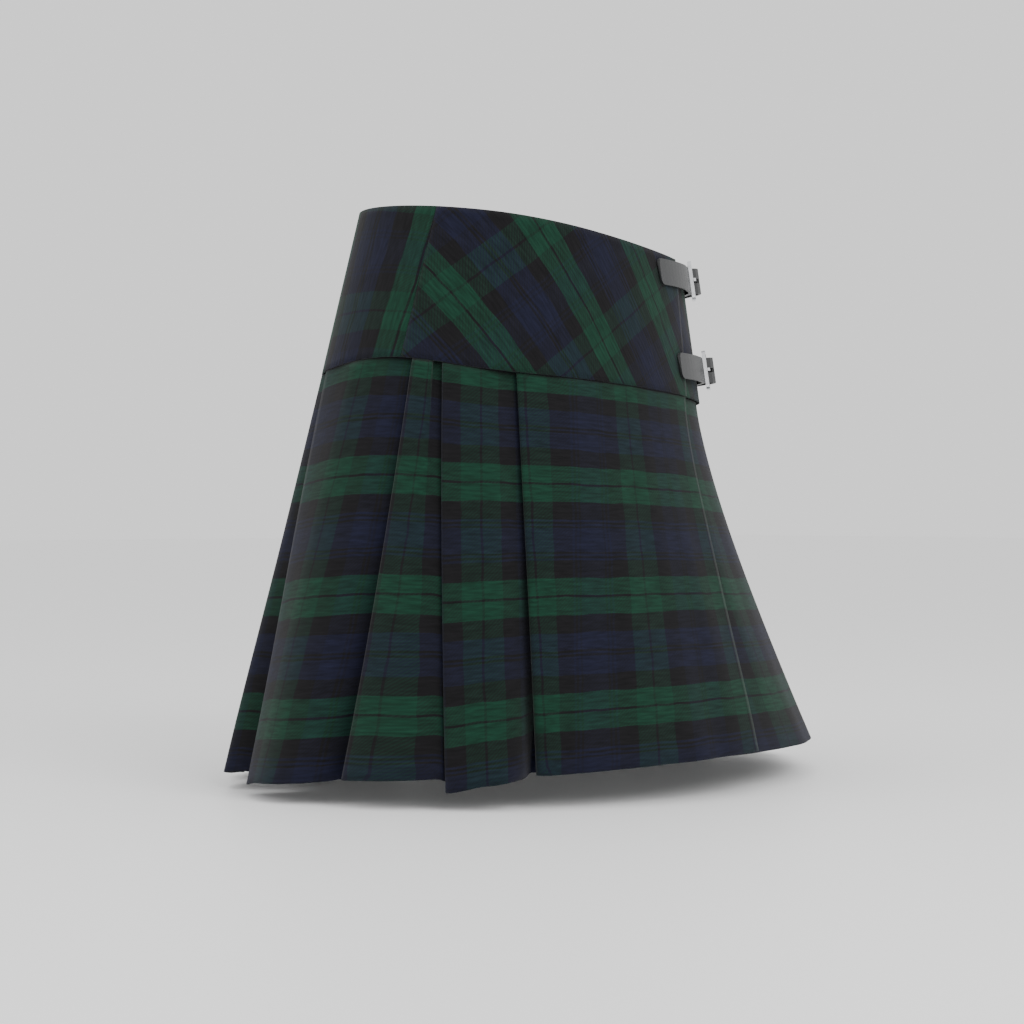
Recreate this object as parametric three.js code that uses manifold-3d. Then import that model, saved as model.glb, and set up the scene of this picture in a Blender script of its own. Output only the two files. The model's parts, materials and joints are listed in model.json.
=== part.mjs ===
// A pleated tartan kilt worn round a hollow waist: a smooth hip yoke, a plain front apron that
// wraps over an under-apron, knife pleats round the hips and back, and two strap-and-buckle
// fastenings at the wearer's left front.
//
// Millimetres, +Z up. The front faces -Y and the wearer's right is -X. The origin is the centre of
// the waist opening. Angles are in degrees round the body, from the front towards the wearer's left.
import * as THREE from 'three';
import { mergeVertices } from 'three/addons/utils/BufferGeometryUtils.js';
import Module from 'manifold-3d';

const wasm = await Module();
wasm.setup();

// ---------------------------------------------------------------- driving sizes
const DEGREE = Math.PI / 180;
const CLOTH = 1.5;            // wall thickness of the wool cloth
const SEAM_GAP = 0.4;         // clearance between two pieces that are sewn together
const LAYER = 2.6;            // spacing of the layers of a pressed pleat
const SKIRT_INSET = 2.4;      // how far the pleat tops sit inside the yoke's lower edge

// Rings of the form at the waist, at the yoke's lower seam and at the hem.
const WAIST = { halfSide: 132, halfDepth: 95, centreX: 2.3, centreY: -1.9 };
const HIP = { halfSide: 154, halfDepth: 113, centreX: -2.3, centreY: 1.9 };
const HEM = { halfSide: 230, halfDepth: 183, centreX: 6, centreY: -5 };

// Heights of those rings: a level, a tilt towards the angle where the ring is highest, and a rise
// beside the side seam.
const WAIST_HEIGHT = { level: 0, tilt: 15, highAt: -110, rise: 0, riseAt: 0, riseSpread: 1 };
const HIP_HEIGHT = { level: -108.5, tilt: 8.5, highAt: -95, rise: 8, riseAt: -75, riseSpread: 20 };
const HEM_HEIGHT = { level: -373, tilt: 9, highAt: 10, rise: 0, riseAt: 0, riseSpread: 1 };

// Angles of the cut edges at the top and at the bottom of each panel.
const SIDE_SEAM = { top: -69, bottom: -72 };
const LEFT_SEAM = { top: 78, bottom: 76 };
const APRON_EDGE = { waist: 45, hip: 38, hem: 16 };
const UNDER_EDGE = { waist: -22, hip: -18, hem: -24 };

// How far the two front layers stand off the single-layer form, and where the overlap starts.
const OVERLAP_OFFSET = 1.4;
const OVERLAP = { right: -66, rightFull: -44, left: 78, leftFull: 56 };

// One row for each pleat fold, walking from the apron round the right hip, the back and the left
// hip. tuck: depth of the pressed pleat. gap, depth, lean: the open valley at the hem, its width,
// its depth and how far it runs back under the upper face. faceDrop: how much lower the upper
// folded edge hangs. crown: how far the face before the fold rounds out at the hem.
const FOLDS = [
  { hip: -40, hem: -40, tuck: 34, gap: 7, depth: 30, lean: 6, faceDrop: 1, nextDrop: 3, crown: 2 },
  { hip: -61, hem: -56, tuck: 16, gap: 3, depth: 13, lean: 9, faceDrop: 9, nextDrop: 0, crown: 5 },
  { hip: -69, hem: -76, tuck: 8, gap: 15, depth: 17, lean: 2, faceDrop: 0, nextDrop: 2, crown: 3 },
  { hip: -103, hem: -101, tuck: 36, gap: 20, depth: 34, lean: 8, faceDrop: 7, nextDrop: 0, crown: 8 },
  { hip: -124, hem: -116, tuck: 28, gap: 12, depth: 30, lean: 8, faceDrop: 4, nextDrop: 1, crown: 5 },
  { hip: -146, hem: -138, tuck: 28, gap: 14, depth: 27, lean: 8, faceDrop: 3, nextDrop: 1, crown: 6 },
  { hip: -168, hem: -162, tuck: 30, gap: 9, depth: 25, lean: 9, faceDrop: 4, nextDrop: 0, crown: 5 },
  { hip: -191, hem: -188, tuck: 30, gap: 15, depth: 29, lean: 7, faceDrop: 2, nextDrop: 1, crown: 7 },
  { hip: -214, hem: -212, tuck: 30, gap: 8, depth: 24, lean: 9, faceDrop: 5, nextDrop: 0, crown: 5 },
  { hip: -237, hem: -238, tuck: 28, gap: 13, depth: 28, lean: 8, faceDrop: 3, nextDrop: 1, crown: 6 },
  { hip: -260, hem: -262, tuck: 28, gap: 10, depth: 26, lean: 8, faceDrop: 4, nextDrop: 0, crown: 5 },
  { hip: -284, hem: -288, tuck: 28, gap: 9, depth: 24, lean: 8, faceDrop: 2, nextDrop: 0, crown: 5 },
];
// Folds whose hidden inner layer holds the join between two widths of cloth.
const JOINED_AT = [0, 4, 7, 11];
const SKIRT_NODES = ['skirt_apron', 'pleats_right_hip', 'pleats_back', 'pleats_left_hip', 'skirt_under_apron'];

const SKIRT_FALLS = [0, 0.06, 0.16, 0.29, 0.43, 0.57, 0.71, 0.86, 1];
const YOKE_FALLS = [0, 0.34, 0.67, 1];
const YOKE_STEP = 5;          // degrees between the yoke's columns
const FLARE_POWER = 0.3;      // how much later the skirt flares at the left front than elsewhere
const FLARE_LATE_AT = 50;
const APRON_COLUMNS = 12;
const UNDER_COLUMNS = 14;
const FACE_COLUMNS = 3;
const APRON_OFFSET = 2.6;
const UNDER_OFFSET = { hip: -1.4, hem: -7 };

// Leather and buckles. start, buckle, end: angles of the strap's sewn end, the buckle and the tail.
const STRAP = { width: 19, thickness: 2, tailHoles: 3, holeSpacing: 9, holeRadius: 1.3 };
const TAB = { width: 16, leather: 1.5, length: 30 };
const FRAME = { height: 29, length: 19, bar: 2.6, corner: 3.5 };
const PRONG = { width: 2.2, height: 1.6 };
const PIVOT_CLEARANCE = 0.35;
const FASTENINGS = [
  { name: 'upper', height: -25.5, start: 27, buckle: 63, end: 104, standOff: 6 },
  { name: 'lower', height: -92.5, start: 34, buckle: 60, end: 99, standOff: 7.5 },
];

// Colours of the wool, leather and plated steel.
const FINISHES = {
  yoke: { color: 0x1c3038, roughness: 0.95, metalness: 0 },
  skirt: { color: 0x183a34, roughness: 0.95, metalness: 0 },
  leather: { color: 0x2b2b2c, roughness: 0.5, metalness: 0 },
  steel: { color: 0xc4c6c8, roughness: 0.25, metalness: 1 },
};

// ---------------------------------------------------------------- the form under the cloth
const mix = (from, to, share) => from + (to - from) * share;

function smoothStep(from, to, value) {
  const share = Math.min(1, Math.max(0, (value - from) / (to - from)));
  return share * share * (3 - 2 * share);
}

/** Angle brought into -180..180, so that a rise beside the side seam is found from any turn. */
function wrapAngle(angle) {
  return ((((angle + 180) % 360) + 360) % 360) - 180;
}

function ringHeight(rule, angle) {
  const away = wrapAngle(angle - rule.riseAt) / rule.riseSpread;
  return rule.level + rule.tilt * Math.cos((angle - rule.highAt) * DEGREE)
    + rule.rise * Math.exp(-away * away);
}

function blendRing(upper, lower, share) {
  return {
    halfSide: mix(upper.halfSide, lower.halfSide, share),
    halfDepth: mix(upper.halfDepth, lower.halfDepth, share),
    centreX: mix(upper.centreX, lower.centreX, share),
    centreY: mix(upper.centreY, lower.centreY, share),
  };
}

/** Point of an elliptical ring at an angle, moved out along the ring's own normal. */
function ringPoint(ring, angle, offset = 0) {
  const sideways = Math.sin(angle * DEGREE);
  const forwards = -Math.cos(angle * DEGREE);
  const radius = 1 / Math.hypot(sideways / ring.halfSide, forwards / ring.halfDepth);
  const outward = new THREE.Vector2(sideways / ring.halfSide ** 2, forwards / ring.halfDepth ** 2)
    .normalize();
  return new THREE.Vector2(
    ring.centreX + sideways * radius + outward.x * offset,
    ring.centreY + forwards * radius + outward.y * offset,
  );
}

/** Angle reached by walking a length along the ring, positive towards the wearer's left. */
function walkAlong(ring, angle, length) {
  const perDegree = ringPoint(ring, angle + 0.5).distanceTo(ringPoint(ring, angle - 0.5));
  return angle + length / perDegree;
}

function yokePoint(angle, fall, offset) {
  const plan = ringPoint(blendRing(WAIST, HIP, fall), angle, offset);
  const height = mix(ringHeight(WAIST_HEIGHT, angle), ringHeight(HIP_HEIGHT, angle), fall);
  return new THREE.Vector3(plan.x, plan.y, height);
}

/** Point beside the yoke at a given height. */
function yokePointAt(angle, height, offset) {
  const top = ringHeight(WAIST_HEIGHT, angle);
  const fall = (top - height) / (top - ringHeight(HIP_HEIGHT, angle));
  const point = yokePoint(angle, fall, offset);
  return point.setZ(height);
}

function skirtRing(angle, fall) {
  const late = 1 + FLARE_POWER * Math.max(0, Math.cos((angle - FLARE_LATE_AT) * DEGREE));
  return blendRing(HIP, HEM, fall ** late);
}

// ---------------------------------------------------------------- walls of cloth
/** Mid-surface rows, each a list of points, made a closed wall of the given thickness. */
function clothWall(rows, thickness) {
  const columns = rows[0].length;
  const positions = [];
  const sides = [1, -1].map((side) => rows.map((row) => row.map((point, column) => {
    const before = row[Math.max(0, column - 1)];
    const after = row[Math.min(columns - 1, column + 1)];
    const arriving = new THREE.Vector2(point.x - before.x, point.y - before.y);
    const leaving = new THREE.Vector2(after.x - point.x, after.y - point.y);
    if (column === 0) arriving.copy(leaving);
    if (column === columns - 1) leaving.copy(arriving);
    arriving.normalize();
    leaving.normalize();
    const along = arriving.clone().add(leaving).normalize();
    const stretch = Math.min(1.5, 1 / Math.max(0.2, along.dot(leaving)));
    const reach = side * stretch * thickness / 2;
    positions.push(point.x - along.y * reach, point.y + along.x * reach, point.z);
    return positions.length / 3 - 1;
  })));
  const [outer, inner] = sides;
  const triangles = [];
  const quad = (a, b, c, d) => triangles.push(a, b, c, a, c, d);
  const last = rows.length - 1;
  for (let row = 0; row < last; row += 1) {
    for (let column = 0; column < columns - 1; column += 1) {
      quad(outer[row][column], outer[row][column + 1], outer[row + 1][column + 1], outer[row + 1][column]);
      triangles.push(inner[row][column], inner[row + 1][column + 1], inner[row][column + 1]);
      triangles.push(inner[row][column], inner[row + 1][column], inner[row + 1][column + 1]);
    }
    const end = columns - 1;
    quad(outer[row][0], outer[row + 1][0], inner[row + 1][0], inner[row][0]);
    quad(outer[row + 1][end], outer[row][end], inner[row][end], inner[row + 1][end]);
  }
  for (let column = 0; column < columns - 1; column += 1) {
    quad(outer[0][column + 1], outer[0][column], inner[0][column], inner[0][column + 1]);
    quad(outer[last][column], outer[last][column + 1], inner[last][column + 1], inner[last][column]);
  }
  return facingOut(positions, triangles);
}

function facingOut(positions, triangles) {
  const corner = (index) => new THREE.Vector3().fromArray(positions, 3 * index);
  let volume = 0;
  for (let t = 0; t < triangles.length; t += 3) {
    const [a, b, c] = [corner(triangles[t]), corner(triangles[t + 1]), corner(triangles[t + 2])];
    volume += a.dot(b.cross(c));
  }
  const geometry = new THREE.BufferGeometry();
  geometry.setAttribute('position', new THREE.Float32BufferAttribute(positions, 3));
  geometry.setIndex(volume < 0 ? triangles.slice().reverse() : triangles);
  return geometry;
}

// ---------------------------------------------------------------- yoke
/** Offset of the outer (+1) or inner (-1) front layer, fading out where the layers part. */
function overlapOffset(angle, side) {
  const fromRight = smoothStep(OVERLAP.right, OVERLAP.rightFull, angle);
  const fromLeft = smoothStep(OVERLAP.left, OVERLAP.leftFull, angle);
  return side * OVERLAP_OFFSET * Math.min(fromRight, fromLeft);
}

/** A yoke panel from one edge to the other; each edge has an angle at the top and at the bottom. */
function yokePanel(start, end, offsetAt) {
  const columns = Math.ceil(Math.abs(start.top - end.top) / YOKE_STEP) + 1;
  const rows = YOKE_FALLS.map((fall) => Array.from({ length: columns }, (_, column) => {
    const share = column / (columns - 1);
    const angle = mix(mix(start.top, start.bottom, fall), mix(end.top, end.bottom, fall), share);
    return yokePoint(angle, fall, offsetAt(angle));
  }));
  return clothWall(rows, CLOTH);
}

function shifted(edge, turn) {
  return { top: edge.top + turn, bottom: edge.bottom + turn };
}

function yokeNodes() {
  const seamTurn = 0.1;       // half the seam clearance, as a turn about the body
  const fullTurn = 360;
  const freeEdge = { top: APRON_EDGE.waist, bottom: APRON_EDGE.hip };
  const underEdge = { top: UNDER_EDGE.waist, bottom: UNDER_EDGE.hip };
  return [
    ['yoke_front', yokePanel(freeEdge, shifted(SIDE_SEAM, seamTurn), (angle) => overlapOffset(angle, 1))],
    ['yoke_back', yokePanel(shifted(SIDE_SEAM, -seamTurn), shifted(LEFT_SEAM, seamTurn - fullTurn), () => 0)],
    ['yoke_under', yokePanel(shifted(LEFT_SEAM, -seamTurn), underEdge, (angle) => overlapOffset(angle, -1))],
  ];
}

// ---------------------------------------------------------------- skirt
/** One column of the skirt's section: where it is at the hip seam and at the hem. */
function column(hip, hem) {
  return { hip: { arc: 0, out: 0, drop: 0, ...hip }, hem: { arc: 0, out: 0, drop: 0, ...hem } };
}

/** The nine columns of one fold: face, rounded edge, tucked layer, valley floor and next face. */
function foldColumns(fold) {
  const { hip, hem, tuck, gap, depth, lean, faceDrop, nextDrop } = fold;
  const floorDrop = (faceDrop + nextDrop) / 2;
  const half = gap / 2;
  const at = (hipArc, hipOut, hemArc, hemOut, drop) => column(
    { angle: hip, arc: hipArc, out: hipOut },
    { angle: hem, arc: hemArc, out: hemOut, drop },
  );
  return [
    at(tuck + 6, LAYER, half + 22, fold.crown * 0.6, faceDrop * 0.6),
    at(2, LAYER, half + 6, 1.5, faceDrop),
    at(0, LAYER / 2, half, -2, faceDrop),
    at(2, 0, half + 0.6, -7, faceDrop),
    at(tuck - 2, 0, lean + 3, 3 - depth, floorDrop),
    at(tuck, -LAYER / 2, lean, -depth, floorDrop),
    at(tuck - 2, -LAYER, lean - 3, 3 - depth, floorDrop),
    at(0, -LAYER, -half - 0.6, -7, nextDrop),
    at(-7, -LAYER * 0.5, -half - 7, -0.5, nextDrop),
  ];
}

/** Plain columns between the end of one fold and the start of the next. */
function faceColumns(before, after, count, crown) {
  return Array.from({ length: count }, (_, index) => {
    const share = (index + 1) / (count + 1);
    const bulge = Math.sin(share * Math.PI);
    const between = (from, to) => ({
      angle: mix(from.angle, to.angle, share),
      arc: mix(from.arc, to.arc, share),
      out: mix(from.out, to.out, share),
      drop: mix(from.drop, to.drop, share),
    });
    const hip = between(before.hip, after.hip);
    const hem = between(before.hem, after.hem);
    hem.out += crown * bulge;
    return column(hip, hem);
  });
}

function skirtPoint({ hip, hem }, fall) {
  const angle = mix(hip.angle, hem.angle, fall);
  const ring = skirtRing(angle, fall);
  const turned = walkAlong(ring, angle, mix(hip.arc, hem.arc, fall));
  const plan = ringPoint(ring, turned, mix(hip.out, hem.out, fall) - SKIRT_INSET * (1 - fall));
  const top = ringHeight(HIP_HEIGHT, turned) - SEAM_GAP;
  const bottom = ringHeight(HEM_HEIGHT, turned) - hem.drop;
  return new THREE.Vector3(plan.x, plan.y, mix(top, bottom, fall));
}

/** The whole skirt's columns from the apron's free edge round to the under-apron's edge. */
function skirtColumns() {
  const freeEdge = column(
    { angle: APRON_EDGE.hip, out: APRON_OFFSET },
    { angle: APRON_EDGE.hem, out: 2, drop: -2 },
  );
  const underEdge = column(
    { angle: UNDER_EDGE.hip - 360, out: UNDER_OFFSET.hip },
    { angle: UNDER_EDGE.hem - 360, out: UNDER_OFFSET.hem },
  );
  const all = [freeEdge];
  const joins = [];
  FOLDS.forEach((fold, index) => {
    const folded = foldColumns(fold);
    const count = index === 0 ? APRON_COLUMNS : FACE_COLUMNS;
    all.push(...faceColumns(all[all.length - 1], folded[0], count, fold.crown));
    if (JOINED_AT.includes(index)) joins.push(all.length + 3);
    all.push(...folded);
  });
  all.push(...faceColumns(all[all.length - 1], underEdge, UNDER_COLUMNS, 0), underEdge);
  return { all, joins };
}

/** Widths of pleated cloth, cut apart half way along the hidden layer at each join. */
function skirtNodes() {
  const { all, joins } = skirtColumns();
  const rows = SKIRT_FALLS.map((fall) => all.map((entry) => skirtPoint(entry, fall)));
  return SKIRT_NODES.map((name, index) => {
    const first = index === 0 ? 0 : joins[index - 1];
    const last = index === joins.length ? all.length - 2 : joins[index];
    const pieces = rows.map((row) => {
      const points = row.slice(first, last + 2).map((point) => point.clone());
      const end = points.length - 1;
      if (index > 0) points[0] = halfWay(points[0], points[1], SEAM_GAP / 2);
      if (index < joins.length) points[end] = halfWay(points[end], points[end - 1], SEAM_GAP / 2);
      return points;
    });
    return [name, clothWall(pieces, CLOTH)];
  });
}

/** The middle of two points, moved a little further on towards the second. */
function halfWay(from, to, further) {
  const step = to.clone().sub(from);
  return from.clone().addScaledVector(step, 0.5 + further / step.length());
}

// ---------------------------------------------------------------- straps, tabs and buckles
/** Local directions at a buckle: along the strap towards the back, up the yoke, and outwards. */
function buckleFrame({ height, buckle, standOff }) {
  const centre = yokePointAt(buckle, height, standOff);
  const along = yokePointAt(buckle + 1, height, 0).sub(yokePointAt(buckle - 1, height, 0)).normalize();
  const up = yokePointAt(buckle, height + 5, 0).sub(yokePointAt(buckle, height - 5, 0)).normalize();
  const out = new THREE.Vector3().crossVectors(along, up).normalize();
  const place = new THREE.Matrix4().makeBasis(along, out, up.clone().negate()).setPosition(centre);
  return { centre, along, up, out, place };
}

const PIVOT = FRAME.length / 2 - FRAME.bar / 2;      // from the buckle's centre to either bar
const PIVOT_HOLE = FRAME.bar * Math.SQRT1_2 + PIVOT_CLEARANCE;
const TAB_LOOP = PIVOT_HOLE + TAB.leather;

/** A shape in the plane of the strap's path, extruded up the yoke and centred on the strap. */
function extrudedUpYoke(shape, width, frame, curveSegments = 6) {
  const geometry = new THREE.ExtrudeGeometry(shape, { depth: width, bevelEnabled: false, curveSegments });
  geometry.translate(0, 0, -width / 2);
  // The shape's own X, Y and depth are the along, out and up directions.
  geometry.applyMatrix4(frame.place);
  return geometry;
}

function localPoint(frame, point) {
  const offset = point.clone().sub(frame.centre);
  return new THREE.Vector2(offset.dot(frame.along), offset.dot(frame.out));
}

function strapWall(fastening, frame) {
  const { height, start, buckle, end } = fastening;
  const onApron = OVERLAP_OFFSET + CLOTH / 2 + 0.4 + STRAP.thickness / 2;
  const overTab = CLOTH / 2 + 0.4 + 2 * TAB.leather + 0.4 + STRAP.thickness / 2;
  const under = -(FRAME.bar / 2 + 0.35 + STRAP.thickness / 2);
  const over = TAB_LOOP + 0.35 + STRAP.thickness / 2;
  const centres = [];
  const body = (angle, offset) => centres.push(yokePointAt(angle, height, offset));
  const local = (along, out) => centres.push(frame.centre.clone()
    .addScaledVector(frame.along, along).addScaledVector(frame.out, out));
  const leadEnd = buckle - 11;
  const leadColumns = Math.ceil((leadEnd - start) / 3.5);
  body(start, onApron);
  body(start + 0.6, onApron);
  body(start + 1.6, onApron);
  for (let index = 1; index <= leadColumns; index += 1) {
    body(mix(start + 1.6, leadEnd, index / leadColumns), onApron + 0.5 * index / leadColumns);
  }
  local(-PIVOT - 3, under);
  local(-PIVOT + 2.2, under);
  local(-2, under * 0.2);
  local(2.5, over * 0.62);
  local(PIVOT - 1.5, over);
  local(PIVOT + 3, over - 0.2);
  local(PIVOT + 9, over - 3);
  const tailStart = buckle + 17;
  const tailColumns = 5;
  for (let index = 0; index <= tailColumns; index += 1) {
    body(mix(tailStart, end - 1.6, index / tailColumns), overTab);
  }
  body(end - 0.6, overTab);
  body(end, overTab);
  const half = STRAP.width / 2;
  const tips = [half - 3, half - 0.9, half];
  const lastColumn = centres.length - 1;
  const rows = [1, -1].map((side) => centres.map((centre, index) => {
    const reach = tips[Math.min(index, lastColumn - index, tips.length - 1)];
    return centre.clone().addScaledVector(frame.up, side * reach);
  }));
  // The wall builder walks towards the wearer's right, so the columns are turned round.
  return clothWall(rows.map((row) => row.reverse()), STRAP.thickness);
}

function strapHoles(fastening, frame) {
  const cutters = [];
  const slot = new THREE.BoxGeometry(PIVOT + 6, 20, PRONG.width + 1);
  slot.translate(0.5, 0, 0).applyMatrix4(frame.place);
  cutters.push(slot);
  for (let index = 1; index <= STRAP.tailHoles; index += 1) {
    const ring = blendRing(WAIST, HIP, 0.5);
    const angle = walkAlong(ring, fastening.buckle + 15, index * STRAP.holeSpacing);
    const centre = yokePointAt(angle, fastening.height, 4);
    const outward = ringPoint(ring, angle, 10).sub(ringPoint(ring, angle));
    const hole = new THREE.CylinderGeometry(STRAP.holeRadius, STRAP.holeRadius, 10, 8);
    hole.rotateZ(-Math.PI / 2).rotateZ(Math.atan2(outward.y, outward.x));
    hole.translate(centre.x, centre.y, centre.z);
    cutters.push(hole);
  }
  return cutters;
}

/** The folded leather tab: round the pivot bar and down on to the yoke, open for the prong. */
function tabSolid(fastening, frame) {
  const underside = CLOTH / 2 + 0.45;
  const topside = underside + 2 * TAB.leather;
  const first = fastening.buckle + 12;
  const last = walkAlong(blendRing(WAIST, HIP, 0.5), first, TAB.length);
  const stations = [0, 0.25, 0.5, 0.75, 1].map((share) => mix(first, last, share));
  const along = (offset) => stations.map((angle) => localPoint(frame,
    yokePointAt(angle, fastening.height, offset)));
  const shape = new THREE.Shape();
  const under = along(underside);
  const top = along(topside).reverse();
  shape.moveTo(PIVOT, -TAB_LOOP);
  under.forEach((point) => shape.lineTo(point.x, point.y));
  top.forEach((point) => shape.lineTo(point.x, point.y));
  shape.lineTo(PIVOT + TAB_LOOP * 0.7, TAB_LOOP * 0.7);
  shape.absarc(PIVOT, 0, TAB_LOOP, 0.25 * Math.PI, 1.5 * Math.PI, false);
  const eye = new THREE.Path();
  eye.absarc(PIVOT, 0, PIVOT_HOLE, 0, 2 * Math.PI, true);
  shape.holes.push(eye);
  const solid = extrudedUpYoke(shape, TAB.width, frame);
  const notch = new THREE.BoxGeometry(2 * TAB_LOOP + 0.6, 20, PRONG.width + 1.2);
  notch.translate(PIVOT - 0.6, 0, 0).applyMatrix4(frame.place);
  return carved(solid, [notch]);
}

/** A rounded rectangular frame with its two upright bars across the strap. */
function frameSolid(frame) {
  const outline = roundedRectangle(new THREE.Shape(), FRAME.length, FRAME.height, FRAME.corner);
  const innerLength = FRAME.length - 2 * FRAME.bar;
  const innerHeight = FRAME.height - 2 * FRAME.bar;
  outline.holes.push(roundedRectangle(new THREE.Path(), innerLength, innerHeight, FRAME.corner - 1.8));
  const geometry = new THREE.ExtrudeGeometry(outline, {
    depth: FRAME.bar, bevelEnabled: false, curveSegments: 4,
  });
  geometry.translate(0, 0, -FRAME.bar / 2);
  // The outline lies in the along and up directions and its depth points outwards.
  geometry.applyMatrix4(new THREE.Matrix4().makeBasis(frame.along, frame.up,
    frame.out).setPosition(frame.centre));
  return geometry;
}

function roundedRectangle(path, length, height, corner) {
  const x = length / 2;
  const y = height / 2;
  path.moveTo(-x + corner, -y);
  path.lineTo(x - corner, -y);
  path.absarc(x - corner, -y + corner, corner, -Math.PI / 2, 0, false);
  path.lineTo(x, y - corner);
  path.absarc(x - corner, y - corner, corner, 0, Math.PI / 2, false);
  path.lineTo(-x + corner, y);
  path.absarc(-x + corner, y - corner, corner, Math.PI / 2, Math.PI, false);
  path.lineTo(-x, -y + corner);
  path.absarc(-x + corner, -y + corner, corner, Math.PI, 1.5 * Math.PI, false);
  return path;
}

/** The prong: an eye round the pivot bar and an arm that rests on the far bar. */
function prongSolid(frame) {
  const eyeRadius = PIVOT_HOLE + 1.1;
  const rest = FRAME.bar / 2 + 0.35;
  const top = rest + PRONG.height;
  const startAngle = Math.asin(top / eyeRadius);
  const endAngle = Math.PI - Math.asin(rest / eyeRadius);
  const shape = new THREE.Shape();
  shape.moveTo(-PIVOT - 2.6, rest - 0.2);
  shape.lineTo(PIVOT + eyeRadius * Math.cos(endAngle), rest);
  shape.absarc(PIVOT, 0, eyeRadius, endAngle, startAngle + 2 * Math.PI, false);
  shape.lineTo(-PIVOT - 1.2, top);
  shape.lineTo(-PIVOT - 2.6, top - 0.7);
  const eye = new THREE.Path();
  eye.absarc(PIVOT, 0, PIVOT_HOLE, 0, 2 * Math.PI, true);
  shape.holes.push(eye);
  return extrudedUpYoke(shape, PRONG.width, frame);
}

// ---------------------------------------------------------------- cutting with a solid kernel
function toSolid(geometry) {
  const bare = geometry.clone();
  bare.deleteAttribute('normal');
  bare.deleteAttribute('uv');
  const merged = mergeVertices(bare, 1e-4);
  return new wasm.Manifold(new wasm.Mesh({
    numProp: 3,
    vertProperties: new Float32Array(merged.attributes.position.array),
    triVerts: new Uint32Array(merged.index.array),
  }));
}

function carved(geometry, cutters) {
  let solid = toSolid(geometry);
  cutters.forEach((cutter) => {
    solid = solid.subtract(toSolid(cutter));
  });
  const mesh = solid.getMesh();
  const result = new THREE.BufferGeometry();
  result.setAttribute('position', new THREE.BufferAttribute(new Float32Array(mesh.vertProperties), 3));
  result.setIndex(Array.from(mesh.triVerts));
  return result;
}

// ---------------------------------------------------------------- the kilt
const kilt = new THREE.Group();
kilt.name = 'kilt';

function addNode(name, geometry, finish) {
  const mesh = new THREE.Mesh(geometry, new THREE.MeshStandardMaterial(finish));
  mesh.name = name;
  kilt.add(mesh);
}

yokeNodes().forEach(([name, geometry]) => addNode(name, geometry, FINISHES.yoke));
skirtNodes().forEach(([name, geometry]) => addNode(name, geometry, FINISHES.skirt));
FASTENINGS.forEach((fastening) => {
  const frame = buckleFrame(fastening);
  const strap = carved(strapWall(fastening, frame), strapHoles(fastening, frame));
  addNode(`strap_${fastening.name}`, strap, FINISHES.leather);
  addNode(`tab_${fastening.name}`, tabSolid(fastening, frame), FINISHES.leather);
  addNode(`buckle_frame_${fastening.name}`, frameSolid(frame), FINISHES.steel);
  addNode(`buckle_prong_${fastening.name}`, prongSolid(frame), FINISHES.steel);
});

export default kilt;
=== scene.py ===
"""Dresses a pleated tartan kilt: shells of wool over its frame, leather, buckles and a pale studio."""
import json
import logging
import math
from dataclasses import dataclass, field
from enum import Enum

import bmesh
import bpy
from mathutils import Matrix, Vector

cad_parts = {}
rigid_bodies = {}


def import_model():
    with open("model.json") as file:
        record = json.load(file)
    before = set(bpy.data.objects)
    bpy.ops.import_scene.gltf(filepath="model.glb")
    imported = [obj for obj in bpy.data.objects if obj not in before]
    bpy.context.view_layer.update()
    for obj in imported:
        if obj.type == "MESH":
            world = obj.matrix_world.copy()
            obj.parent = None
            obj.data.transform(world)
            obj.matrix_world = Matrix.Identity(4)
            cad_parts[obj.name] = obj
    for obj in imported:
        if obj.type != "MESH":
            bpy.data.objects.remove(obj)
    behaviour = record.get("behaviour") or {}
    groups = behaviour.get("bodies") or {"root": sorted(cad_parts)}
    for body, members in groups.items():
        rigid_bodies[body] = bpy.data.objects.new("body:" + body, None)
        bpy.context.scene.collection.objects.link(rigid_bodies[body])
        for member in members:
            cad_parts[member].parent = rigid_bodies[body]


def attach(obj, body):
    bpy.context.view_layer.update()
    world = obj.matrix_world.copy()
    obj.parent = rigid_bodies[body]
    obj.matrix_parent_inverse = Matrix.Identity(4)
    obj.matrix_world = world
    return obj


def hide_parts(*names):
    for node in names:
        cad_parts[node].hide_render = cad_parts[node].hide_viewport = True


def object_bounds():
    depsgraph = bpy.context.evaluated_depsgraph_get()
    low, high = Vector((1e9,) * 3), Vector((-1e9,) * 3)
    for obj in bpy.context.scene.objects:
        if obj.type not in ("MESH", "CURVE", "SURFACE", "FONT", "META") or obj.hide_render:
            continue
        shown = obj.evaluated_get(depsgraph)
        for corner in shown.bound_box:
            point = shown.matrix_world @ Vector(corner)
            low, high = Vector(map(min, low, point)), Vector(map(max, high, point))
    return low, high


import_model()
CAD_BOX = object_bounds()
LOG = logging.getLogger("kilt")
MM = 0.001
CLOTH = 1.1             # millimetres of wool
SKIRT_INSET = 2.4       # pleat tops sit inside the yoke's lower edge
LAYER = 2.6
SEAM_GAP = 0.4
HALF_GREEN = 41.5       # from the middle of a navy block to the middle of a green band
SIDE_SEAM = (-69.0, -72.0)      # angles of the yoke's right seam, top and bottom
LEFT_SEAM = (78.0, 76.0)
APRON_EDGE = (45.0, 38.0, 16.0)     # the apron's free edge at waist, hip and hem
UNDER_EDGE = (-22.0, -18.0, -24.0)
FULL_TURN = 360.0


class Ring(Enum):
    """Half side, half depth and centre of the form's rings, in millimetres."""
    WAIST = (132, 95, 2.3, -1.9)
    HIP = (154, 113, -2.3, 1.9)
    HEM = (230, 183, 6, -5)


class Height(Enum):
    """Level, tilt, angle of the high side, and a rise with its angle and spread."""
    WAIST = (0, 15, -110, 0, 0, 1)
    HIP = (-108.5, 8.5, -95, 8, -75, 20)
    HEM = (-373, 9, 10, 0, 0, 1)


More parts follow.
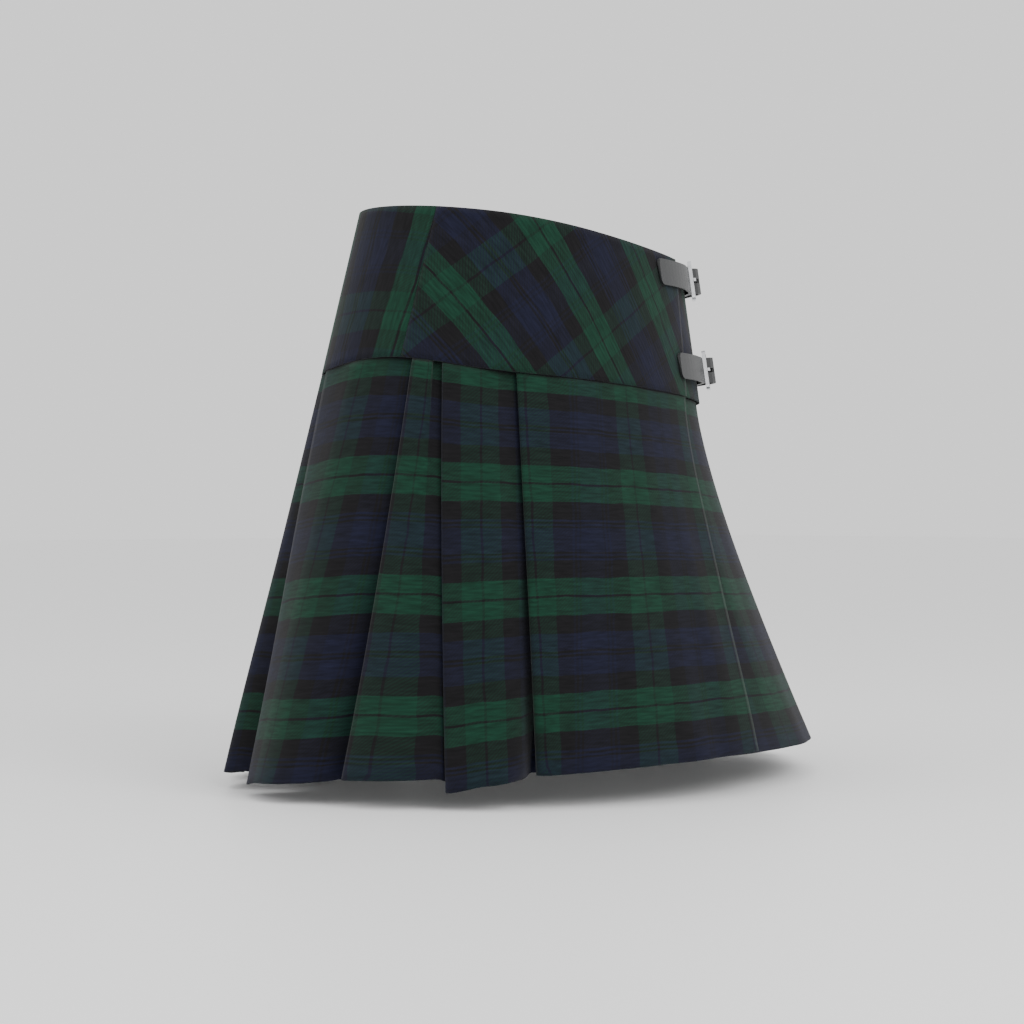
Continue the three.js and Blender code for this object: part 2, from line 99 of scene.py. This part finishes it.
def mix(start: float, end: float, share: float) -> float:
    """Blend two numbers by a share from 0 to 1."""
    return start + (end - start) * share


def blend_ring(upper: Ring, lower: Ring, share: float) -> tuple:
    """Blend two rings' sizes."""
    return tuple(mix(a, b, share) for a, b in zip(upper.value, lower.value))


def ring_point(ring: tuple, angle: float, offset: float = 0.0) -> Vector:
    """Find a point of a ring.

    Args:
        ring: half side, half depth and centre.
        angle: degrees from the front towards the wearer's left.
        offset: distance out along the ring's normal.

    Returns:
        The point in plan.
    """
    side, depth, centre_x, centre_y = ring
    across, forward = math.sin(math.radians(angle)), -math.cos(math.radians(angle))
    radius = 1 / math.hypot(across / side, forward / depth)
    out = Vector((across / side ** 2, forward / depth ** 2)).normalized()
    return Vector((centre_x + across * radius, centre_y + forward * radius)) + out * offset


def height_at(rule: Height, angle: float) -> float:
    """Find the height of a ring.

    Args:
        rule: the ring's level, tilt and rise.
        angle: degrees from the front towards the wearer's left.

    Returns:
        The height above the waist's mean, in millimetres.
    """
    level, tilt, high_at, rise, rise_at, spread = rule.value
    away = ((angle - rise_at + 180) % 360 - 180) / spread
    return level + tilt * math.cos(math.radians(angle - high_at)) + rise * math.exp(-away * away)


def walk(ring: tuple, angle: float, length: float) -> float:
    """Walk along a ring, positive towards the wearer's left.

    Args:
        ring: half side, half depth and centre.
        angle: where the walk starts.
        length: millimetres walked.

    Returns:
        The angle reached.
    """
    per_degree = (ring_point(ring, angle + 0.5) - ring_point(ring, angle - 0.5)).length
    return angle + length / per_degree


@dataclass(frozen=True)
class Fold:
    """One pleat: its angles at hip and hem, tuck, open valley, drops and rounding."""
    hip: float
    hem: float
    tuck: float
    gap: float
    depth: float
    lean: float
    face_drop: float
    next_drop: float
    crown: float


FOLDS = [Fold(*row) for row in (
    (-40, -40, 34, 7, 30, 6, 1, 3, 2), (-61, -56, 16, 3, 13, 9, 9, 0, 5),
    (-69, -76, 8, 15, 17, 2, 0, 2, 3), (-103, -101, 36, 20, 34, 8, 7, 0, 8),
    (-124, -116, 28, 12, 30, 8, 4, 1, 5), (-146, -138, 28, 14, 27, 8, 3, 1, 6),
    (-168, -162, 30, 9, 25, 9, 4, 0, 5), (-191, -188, 30, 15, 29, 7, 2, 1, 7),
    (-214, -212, 30, 8, 24, 9, 5, 0, 5), (-237, -238, 28, 13, 28, 8, 3, 1, 6),
    (-260, -262, 28, 10, 26, 8, 4, 0, 5), (-284, -288, 28, 9, 24, 8, 2, 0, 5))]
JOINED_AT = (0, 4, 7, 11)


@dataclass(frozen=True)
class Tartan:
    """Government tartan woven as a twill: thread counts, colours and the size of half a sett."""
    half_sett: float = 83.0
    threads: tuple = (("navy", 11), ("black", 2), ("navy", 2), ("black", 2), ("navy", 2), ("black", 16),
                      ("green", 16), ("black", 2), ("green", 16), ("black", 16), ("navy", 16),
                      ("black", 2), ("navy", 1))
    navy: tuple = (0.0055, 0.0062, 0.017, 1)
    green: tuple = (0.004, 0.026, 0.0145, 1)
    black: tuple = (0.0045, 0.0042, 0.0050, 1)
    weft_share: float = 0.70

    def stripes(self, nodes: bpy.types.Nodes, links: bpy.types.NodeLinks, value: object) -> object:
        """Colour one set of threads.

        Args:
            nodes: the material's nodes.
            links: the material's links.
            value: socket with the distance across the stripes, in metres.

        Returns:
            The colour socket.
        """
        fold = nodes.new("ShaderNodeMath")
        fold.operation = "PINGPONG"
        fold.inputs[1].default_value = self.half_sett * MM
        links.new(value, fold.inputs[0])
        scale = nodes.new("ShaderNodeMath")
        scale.operation = "DIVIDE"
        scale.inputs[1].default_value = self.half_sett * MM
        links.new(fold.outputs[0], scale.inputs[0])
        ramp = nodes.new("ShaderNodeValToRGB")
        ramp.color_ramp.interpolation = "CONSTANT"
        links.new(scale.outputs[0], ramp.inputs[0])
        total = sum(count for _, count in self.threads)
        start = 0
        for index, (name, count) in enumerate(self.threads):
            stop = ramp.color_ramp.elements[0] if index == 0 else ramp.color_ramp.elements.new(start / total)
            stop.color = getattr(self, name)
            start += count
        ramp.color_ramp.elements[-1].color = self.navy
        return ramp.outputs[0]

    def material(self) -> bpy.types.Material:
        """Build the woven tartan, with uneven dye, yarn slubs and a twill rib."""
        made = bpy.data.materials.new("tartan_twill")
        made.use_nodes = True
        nodes, links = made.node_tree.nodes, made.node_tree.links
        shader = nodes["Principled BSDF"]
        uv = nodes.new("ShaderNodeUVMap")
        uv.uv_map = "cloth"
        wobble = nodes.new("ShaderNodeTexNoise")
        wobble.inputs["Scale"].default_value = 45
        links.new(uv.outputs[0], wobble.inputs["Vector"])
        shift = nodes.new("ShaderNodeVectorMath")
        shift.operation = "MULTIPLY_ADD"
        shift.inputs[1].default_value = (0.003, 0.003, 0)
        links.new(wobble.outputs["Color"], shift.inputs[0])
        links.new(uv.outputs[0], shift.inputs[2])
        split = nodes.new("ShaderNodeSeparateXYZ")
        links.new(shift.outputs[0], split.inputs[0])
        warp = self.stripes(nodes, links, split.outputs[0])
        weft = self.stripes(nodes, links, split.outputs[1])
        rib = nodes.new("ShaderNodeTexWave")
        rib.bands_direction = "DIAGONAL"
        rib.inputs["Scale"].default_value = 240
        rib.inputs["Distortion"].default_value = 1.5
        links.new(uv.outputs[0], rib.inputs["Vector"])
        share = nodes.new("ShaderNodeMapRange")
        share.inputs["To Min"].default_value = self.weft_share - 0.14
        share.inputs["To Max"].default_value = self.weft_share + 0.14
        links.new(rib.outputs["Fac"], share.inputs["Value"])
        cloth = nodes.new("ShaderNodeMix")
        cloth.data_type = "RGBA"
        links.new(share.outputs[0], cloth.inputs[0])
        links.new(warp, cloth.inputs[6])
        links.new(weft, cloth.inputs[7])
        slub = nodes.new("ShaderNodeTexNoise")
        slub.inputs["Scale"].default_value = 320
        slub.inputs["Detail"].default_value = 5
        stretch = nodes.new("ShaderNodeMapping")
        stretch.inputs["Scale"].default_value = (0.25, 1.6, 1)
        links.new(uv.outputs[0], stretch.inputs["Vector"])
        links.new(stretch.outputs[0], slub.inputs["Vector"])
        fleck = nodes.new("ShaderNodeMapRange")
        fleck.inputs["To Min"].default_value = 0.1
        fleck.inputs["To Max"].default_value = 1.9
        links.new(slub.outputs["Fac"], fleck.inputs["Value"])
        tint = nodes.new("ShaderNodeVectorMath")
        tint.operation = "SCALE"
        links.new(cloth.outputs[2], tint.inputs[0])
        links.new(fleck.outputs[0], tint.inputs["Scale"])
        links.new(tint.outputs[0], shader.inputs["Base Color"])
        shader.inputs["Roughness"].default_value = 0.92
        shader.inputs["Specular IOR Level"].default_value = 0.15
        shader.inputs["Sheen Weight"].default_value = 0.06
        bump = nodes.new("ShaderNodeBump")
        bump.inputs["Strength"].default_value = 0.35
        bump.inputs["Distance"].default_value = 0.0006
        links.new(slub.outputs["Fac"], bump.inputs["Height"])
        links.new(bump.outputs[0], shader.inputs["Normal"])
        return made


@dataclass(frozen=True)
class Leather:
    """Smooth black leather with a fine grain."""
    color: tuple = (0.020, 0.021, 0.022, 1)
    roughness: float = 0.42
    grain: float = 900.0

    def material(self) -> bpy.types.Material:
        """Build the leather."""
        return grained("black_leather", self.color, self.roughness, self.grain, 0.0, 0.3)


@dataclass(frozen=True)
class PlatedSteel:
    """Bright plated steel with faint wear."""
    color: tuple = (0.72, 0.73, 0.75, 1)
    roughness: float = 0.22
    grain: float = 260.0

    def material(self) -> bpy.types.Material:
        """Build the metal."""
        return grained("plated_steel", self.color, self.roughness, self.grain, 1.0, 0.08)


def grained(name: str, color: tuple, roughness: float, scale: float, metal: float,
            bump_strength: float) -> bpy.types.Material:
    """Build a finish whose grain varies its colour, gloss and surface.

    Args:
        name: the material's name.
        color: the middle colour.
        roughness: the middle roughness.
        scale: grain per metre.
        metal: 1 for metal.
        bump_strength: strength of the surface grain.

    Returns:
        The material.
    """
    made = bpy.data.materials.new(name)
    made.use_nodes = True
    nodes, links = made.node_tree.nodes, made.node_tree.links
    shader = nodes["Principled BSDF"]
    place = nodes.new("ShaderNodeTexCoord")
    noise = nodes.new("ShaderNodeTexNoise")
    noise.inputs["Scale"].default_value = scale
    noise.inputs["Detail"].default_value = 6
    links.new(place.outputs["Object"], noise.inputs["Vector"])
    ramp = nodes.new("ShaderNodeValToRGB")
    ramp.color_ramp.elements[0].color = tuple(0.75 * part for part in color[:3]) + (1,)
    ramp.color_ramp.elements[1].color = tuple(1.2 * part for part in color[:3]) + (1,)
    links.new(noise.outputs["Fac"], ramp.inputs[0])
    links.new(ramp.outputs[0], shader.inputs["Base Color"])
    gloss = nodes.new("ShaderNodeMapRange")
    gloss.inputs["To Min"].default_value = roughness - 0.08
    gloss.inputs["To Max"].default_value = roughness + 0.12
    links.new(noise.outputs["Fac"], gloss.inputs["Value"])
    links.new(gloss.outputs[0], shader.inputs["Roughness"])
    shader.inputs["Metallic"].default_value = metal
    bump = nodes.new("ShaderNodeBump")
    bump.inputs["Strength"].default_value = bump_strength
    bump.inputs["Distance"].default_value = 0.0003
    links.new(noise.outputs["Fac"], bump.inputs["Height"])
    links.new(bump.outputs[0], shader.inputs["Normal"])
    return made


@dataclass
class ClothShell:
    """A shell of wool through rows of points, with the cut's own map for its pattern."""
    name: str
    rows: list
    threads: list
    held: str = "hung"

    def build(self, material: bpy.types.Material) -> bpy.types.Object:
        """Args:
            material: the cloth's finish.

        Returns:
            The finished piece.
        """
        columns, lines = len(self.rows[0]), len(self.rows)
        mesh = bpy.data.meshes.new(self.name)
        bm = bmesh.new()
        bmesh.ops.create_grid(bm, x_segments=columns - 1, y_segments=lines - 1, size=1)
        cells = {}
        for vert in bm.verts:
            cell = (round((1 - vert.co.y) / 2 * (lines - 1)), round((vert.co.x + 1) / 2 * (columns - 1)))
            cells[vert] = cell
            vert.co = Vector(self.rows[cell[0]][cell[1]]) * MM
        layer = bm.loops.layers.uv.new("cloth")
        for face in bm.faces:
            face.smooth = True
            for loop in face.loops:
                row, column = cells[loop.vert]
                loop[layer].uv = Vector(self.threads[row][column]) * MM
        bmesh.ops.reverse_faces(bm, faces=bm.faces)
        area = sum(face.calc_area() for face in bm.faces)
        bm.to_mesh(mesh)
        bm.free()
        piece = bpy.data.objects.new(self.name, mesh)
        bpy.context.scene.collection.objects.link(piece)
        mesh.materials.append(material)
        smooth = piece.modifiers.new("smooth", "SUBSURF")
        smooth.levels = smooth.render_levels = 1
        smooth.boundary_smooth = "PRESERVE_CORNERS"
        wall = piece.modifiers.new("wall", "SOLIDIFY")
        wall.thickness = CLOTH * MM
        wall.offset = 0
        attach(piece, "root")
        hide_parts(self.name.replace("cloth_", ""))
        LOG.info("%s: %d by %d", self.name, columns, lines)
        return piece


@dataclass
class Yoke:
    """The fitted hip yoke in three panels, the front one cut on the bias."""
    falls: int = 12
    step: float = 3.0
    apex: float = 615.0          # from the cone's point to the waist
    turn: float = 0.187          # developed degrees for each degree round the body
    depth: float = 108.0
    bias: float = 48.0
    front_grain: float = -40.0   # angle where the front's grain is plumb
    back_grain: float = -109.0
    overlap: tuple = (-66, 78)   # where the two front layers part, right and left
    fade: float = 22.0
    layer: float = 1.4
    seam_turn: float = 0.03      # half of a sewn seam, as a turn about the body
    weft_scale: float = 1.08
    warp_scale: float = 0.92
    warp_start: tuple = (40, 105)
    back_band: float = 73.0      # where the back's level green band lies below the waist

    def panel(self, name: str, start: tuple, end: tuple, side: int, bias: bool) -> ClothShell:
        """Work out one panel.

        Args:
            name: the CAD node that it covers.
            start: angles of its first edge, at the top and bottom.
            end: angles of its last edge.
            side: 1 outer layer, -1 inner layer, 0 single.
            bias: whether its grain runs slantwise.

        Returns:
            The panel's shell.
        """
        columns = int(abs(start[0] - end[0]) / self.step) + 1
        rows, threads = [], []
        for line in range(self.falls + 1):
            fall = line / self.falls
            rows.append([])
            threads.append([])
            for column in range(columns + 1):
                share = column / columns
                angle = mix(mix(start[0], start[1], fall), mix(end[0], end[1], fall), share)
                plan = ring_point(blend_ring(Ring.WAIST, Ring.HIP, fall), angle, self.offset(angle, side))
                height = mix(height_at(Height.WAIST, angle), height_at(Height.HIP, angle), fall)
                rows[-1].append((plan.x, plan.y, height))
                threads[-1].append(self.thread(angle, fall, bias))
        return ClothShell("cloth_" + name, rows, threads, "draped")

    def offset(self, angle: float, side: int) -> float:
        """Find how far a front layer stands off the form.

        Args:
            angle: round the body.
            side: 1 outer layer, -1 inner layer, 0 single.

        Returns:
            The offset, fading to nothing where the layers part.
        """
        right = min(1, max(0, (angle - self.overlap[0]) / self.fade))
        left = min(1, max(0, (self.overlap[1] - angle) / self.fade))
        share = min(right * right * (3 - 2 * right), left * left * (3 - 2 * left))
        return side * self.layer * share

    def thread(self, angle: float, fall: float, bias: bool) -> tuple:
        """Where a point lies in the flat cloth, along weft and warp.

        Args:
            angle: round the body.
            fall: share of the way down.
            bias: whether the grain runs slantwise.

        Returns:
            Distances across the warp and weft stripes.
        """
        plumb = self.front_grain if bias else self.back_grain
        spread = math.radians(self.turn * (angle - plumb))
        reach = self.apex + fall * self.depth
        across, down = reach * math.sin(spread), reach * math.cos(spread) - self.apex
        if not bias:
            return (down - self.back_band + HALF_GREEN, across + HALF_GREEN)
        slant = math.radians(self.bias)
        weft = across * math.sin(slant) - (down - self.depth) * math.cos(slant)
        aside, below = self.warp_start
        warp = (across - aside) * math.cos(slant) + (down - below) * math.sin(slant)
        return (warp * self.warp_scale + HALF_GREEN, weft * self.weft_scale + HALF_GREEN)

    def build(self, material: bpy.types.Material) -> None:
        """Build the three panels."""
        gap = self.seam_turn
        sides = tuple(angle + gap for angle in SIDE_SEAM)
        self.panel("yoke_front", APRON_EDGE[:2], sides, 1, True).build(material)
        sides = tuple(angle - gap for angle in SIDE_SEAM)
        turned = tuple(angle - FULL_TURN + 0.1 for angle in LEFT_SEAM)
        self.panel("yoke_back", sides, turned, 0, False).build(material)
        left = tuple(angle - 0.1 for angle in LEFT_SEAM)
        self.panel("yoke_under", left, UNDER_EDGE[:2], -1, True).build(material)


@dataclass
class Skirt:
    """The apron, the pleated widths and the under-apron, hung from the yoke."""
    lines: int = 26
    nodes: tuple = ("skirt_apron", "pleats_right_hip", "pleats_back", "pleats_left_hip",
                    "skirt_under_apron")
    columns: list = field(default_factory=list)
    joins: list = field(default_factory=list)
    apron_columns: int = 20
    face_columns: int = 5
    under_columns: int = 22
    ripple: float = 1.1
    length: float = 292.0        # of the cloth from seam to hem, for its pattern
    hem_band: float = 3.0

    def fold(self, fold: Fold) -> list:
        """Work out the nine columns of one fold.

        Args:
            fold: the pleat's sizes.

        Returns:
            Rows of hip angle, arc and offset, hem angle, arc and offset, and drop.
        """
        floor = (fold.face_drop + fold.next_drop) / 2
        half, tuck, lean, depth = fold.gap / 2, fold.tuck, fold.lean, fold.depth
        rows = ((tuck + 6, LAYER, half + 22, fold.crown * 0.6, fold.face_drop * 0.6),
                (2, LAYER, half + 6, 1.5, fold.face_drop), (0, LAYER / 2, half, -2, fold.face_drop),
                (2, 0, half + 0.6, -7, fold.face_drop), (tuck - 2, 0, lean + 3, 3 - depth, floor),
                (tuck, -LAYER / 2, lean, -depth, floor), (tuck - 2, -LAYER, lean - 3, 3 - depth, floor),
                (0, -LAYER, -half - 0.6, -7, fold.next_drop),
                (-7, -LAYER / 2, -half - 7, -0.5, fold.next_drop))
        return [(fold.hip, a, b, fold.hem, c, d, e) for a, b, c, d, e in rows]

    def face(self, before: tuple, after: tuple, count: int, crown: float) -> list:
        """Work out plain columns between two folds.

        Args:
            before: the last column of one fold.
            after: the first column of the next.
            count: how many columns to make.
            crown: how far the face rounds out at the hem.

        Returns:
            The columns, in order.
        """
        made = []
        for index in range(count):
            share = (index + 1) / (count + 1)
            entry = [mix(a, b, share) for a, b in zip(before, after)]
            entry[5] += crown * math.sin(share * math.pi)
            made.append(tuple(entry))
        return made

    def lay_out(self) -> None:
        """Fill the columns from the apron's free edge round to the under-apron's."""
        self.columns = [(APRON_EDGE[1], 0, LAYER, APRON_EDGE[2], 0, 2, -2)]
        for index, fold in enumerate(FOLDS):
            folded = self.fold(fold)
            count = self.apron_columns if index == 0 else self.face_columns
            self.columns += self.face(self.columns[-1], folded[0], count, fold.crown)
            if index in JOINED_AT:
                self.joins.append(len(self.columns) + 3)
            self.columns += folded
        edge = (UNDER_EDGE[1] - FULL_TURN, 0, -1.4, UNDER_EDGE[2] - FULL_TURN, 0, -7, 0)
        self.columns += self.face(self.columns[-1], edge, self.under_columns, 0) + [edge]

    def point(self, entry: tuple, fall: float) -> tuple:
        """Place one column.

        Args:
            entry: the column.
            fall: share of the way from seam to hem.

        Returns:
            The point, in millimetres.
        """
        hip, arc, out, hem, hem_arc, hem_out, drop = entry
        angle = mix(hip, hem, fall)
        late = 1 + 0.3 * max(0, math.cos(math.radians(angle - 50)))
        ring = blend_ring(Ring.HIP, Ring.HEM, fall ** late)
        turned = walk(ring, angle, mix(arc, hem_arc, fall))
        ripple = self.ripple * fall * math.sin(turned * 0.37) * math.sin(fall * 5 + turned * 0.11)
        plan = ring_point(ring, turned, mix(out, hem_out, fall) - SKIRT_INSET * (1 - fall) + ripple)
        top = height_at(Height.HIP, turned) - SEAM_GAP
        return (plan.x, plan.y, mix(top, height_at(Height.HEM, turned) - drop, fall))

    def build(self, material: bpy.types.Material) -> None:
        """Build every width of the skirt."""
        self.lay_out()
        rows = [[self.point(entry, line / self.lines) for entry in self.columns]
                for line in range(self.lines + 1)]
        middle = rows[self.lines // 2]
        along = [0.0]
        for before, after in zip(middle, middle[1:]):
            along.append(along[-1] + (Vector(after) - Vector(before)).length)
        start = along[self.joins[0] - 2]
        threads = []
        for line in range(self.lines + 1):
            up = (1 - line / self.lines) * self.length - self.hem_band
            threads.append([(across - start + HALF_GREEN, up) for across in along])
        for index, name in enumerate(self.nodes):
            first = 0 if index == 0 else self.joins[index - 1] + 1
            last = len(middle) if index == len(self.joins) else self.joins[index] + 1
            ClothShell("cloth_" + name, [row[first:last] for row in rows],
                       [row[first:last] for row in threads]).build(material)


@dataclass
class Fastenings:
    """The two straps, tabs and buckles that stay on the frame with their own finishes."""
    names: tuple = ("upper", "lower")

    def dress(self, leather: bpy.types.Material, steel: bpy.types.Material) -> None:
        """Give each hard piece its finish."""
        finishes = {"strap_": leather, "tab_": leather, "buckle_frame_": steel, "buckle_prong_": steel}
        for name in self.names:
            for prefix, finish in finishes.items():
                node = bpy.data.objects[prefix + name]
                node.data.materials.clear()
                node.data.materials.append(finish)
                LOG.info("dressed %s", node.name)


@dataclass
class Studio:
    """A pale floor, soft lights and the camera."""
    distance: float = 1.575
    azimuth: float = -40.0
    eye: float = -0.198
    lens: float = 75.3
    floor_drop: float = 0.004

    def build(self) -> None:
        """Build the studio."""
        mesh = bpy.data.meshes.new("floor")
        bm = bmesh.new()
        bmesh.ops.create_grid(bm, x_segments=1, y_segments=1, size=12)
        for vert in bm.verts:
            vert.co.z = CAD_BOX[0][2] - self.floor_drop
        bm.to_mesh(mesh)
        bm.free()
        floor = bpy.data.objects.new("floor", mesh)
        bpy.context.scene.collection.objects.link(floor)
        pale = bpy.data.materials.new("pale_floor")
        pale.use_nodes = True
        pale.node_tree.nodes["Principled BSDF"].inputs["Base Color"].default_value = (0.95, 0.95, 0.95, 1)
        mesh.materials.append(pale)
        world = bpy.data.worlds.new("studio")
        world.use_nodes = True
        world.node_tree.nodes["Background"].inputs[0].default_value = (1, 1, 1, 1)
        world.node_tree.nodes["Background"].inputs[1].default_value = 1.15
        bpy.context.scene.world = world
        turn = math.radians(self.azimuth)
        for name, side, height, power in (("key", 0.7, 0.9, 22), ("fill", -1.1, 0.4, 8)):
            light = bpy.data.lights.new(name, "AREA")
            light.energy, light.size = power, 1.2
            lamp = bpy.data.objects.new(name, light)
            lamp.location = (1.6 * math.sin(turn + side), -1.6 * math.cos(turn + side), height)
            lamp.rotation_euler = (-Vector(lamp.location)).to_track_quat("-Z", "Y").to_euler()
            bpy.context.scene.collection.objects.link(lamp)
        lens = bpy.data.cameras.new("camera")
        lens.lens = self.lens
        camera = bpy.data.objects.new("camera", lens)
        aside = -0.006
        camera.location = (self.distance * math.sin(turn) + aside * math.cos(turn),
                           -self.distance * math.cos(turn) + aside * math.sin(turn), self.eye)
        camera.rotation_euler = (math.radians(90), 0, turn)
        bpy.context.scene.collection.objects.link(camera)
        bpy.context.scene.camera = camera


def main() -> None:
    """Build and dress the kilt."""
    logging.basicConfig(level=logging.INFO)
    tartan = Tartan().material()
    Studio().build()
    Yoke().build(tartan)
    Skirt().build(tartan)
    Fastenings().dress(Leather().material(), PlatedSteel().material())
    bpy.context.view_layer.update()


if __name__ == "__main__":
    main()
